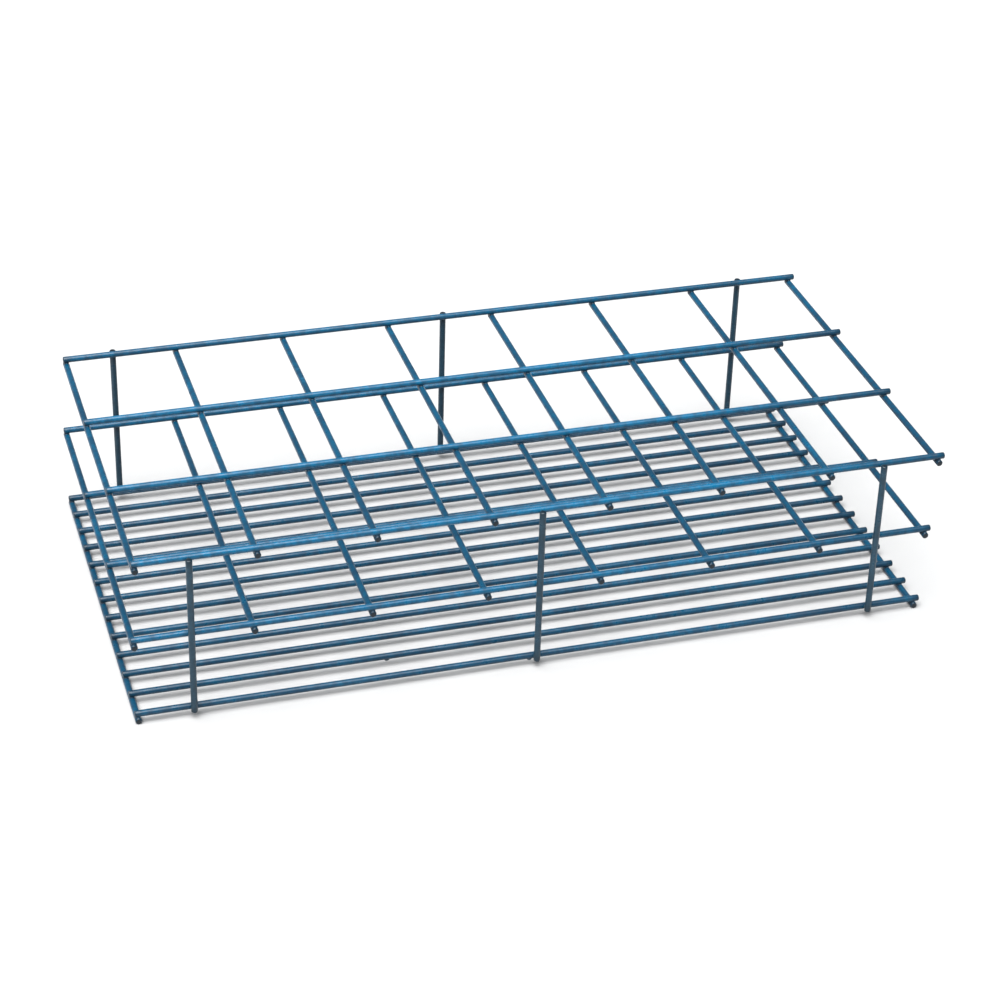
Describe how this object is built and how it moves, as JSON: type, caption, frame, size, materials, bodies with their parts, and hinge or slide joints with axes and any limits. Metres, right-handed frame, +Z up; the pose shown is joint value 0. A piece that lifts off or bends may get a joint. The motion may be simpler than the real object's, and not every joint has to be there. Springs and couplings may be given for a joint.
{
  "type": "wire test tube rack",
  "caption": "Rectangular welded rack of coated wire, with two open grids that steady tubes above a close-set wire floor, on upright side legs.",
  "frame": {"origin": "centre of the bounding box on the surface the rack stands on", "axes": "+X along the long wires, +Y towards the back, +Z up"},
  "size_m": [0.2846, 0.146, 0.0632],
  "materials": {
    "coated_wire": "glossy blue epoxy coating over steel wire"
  },
  "bodies": {
    "root": {"floor_long_wire_01": "coated_wire", "floor_long_wire_02": "coated_wire", "floor_long_wire_03": "coated_wire", "floor_long_wire_04": "coated_wire", "floor_long_wire_05": "coated_wire", "floor_long_wire_06": "coated_wire", "floor_long_wire_07": "coated_wire", "floor_long_wire_08": "coated_wire", "floor_long_wire_09": "coated_wire", "floor_long_wire_10": "coated_wire", "floor_long_wire_11": "coated_wire", "floor_long_wire_12": "coated_wire", "floor_long_wire_13": "coated_wire", "floor_end_wire_left": "coated_wire", "floor_end_wire_right": "coated_wire", "middle_long_wire_1": "coated_wire", "middle_long_wire_2": "coated_wire", "middle_long_wire_3": "coated_wire", "middle_long_wire_4": "coated_wire", "middle_cross_wire_1": "coated_wire", "middle_cross_wire_2": "coated_wire", "middle_cross_wire_3": "coated_wire", "middle_cross_wire_4": "coated_wire", "middle_cross_wire_5": "coated_wire", "middle_cross_wire_6": "coated_wire", "middle_cross_wire_7": "coated_wire", "middle_cross_wire_8": "coated_wire", "top_long_wire_1": "coated_wire", "top_long_wire_2": "coated_wire", "top_long_wire_3": "coated_wire", "top_long_wire_4": "coated_wire", "top_cross_wire_1": "coated_wire", "top_cross_wire_2": "coated_wire", "top_cross_wire_3": "coated_wire", "top_cross_wire_4": "coated_wire", "top_cross_wire_5": "coated_wire", "top_cross_wire_6": "coated_wire", "top_cross_wire_7": "coated_wire", "top_cross_wire_8": "coated_wire", "leg_front_left": "coated_wire", "leg_front_middle": "coated_wire", "leg_front_right": "coated_wire", "leg_back_left": "coated_wire", "leg_back_middle": "coated_wire", "leg_back_right": "coated_wire"}
  },
  "joints": []
}
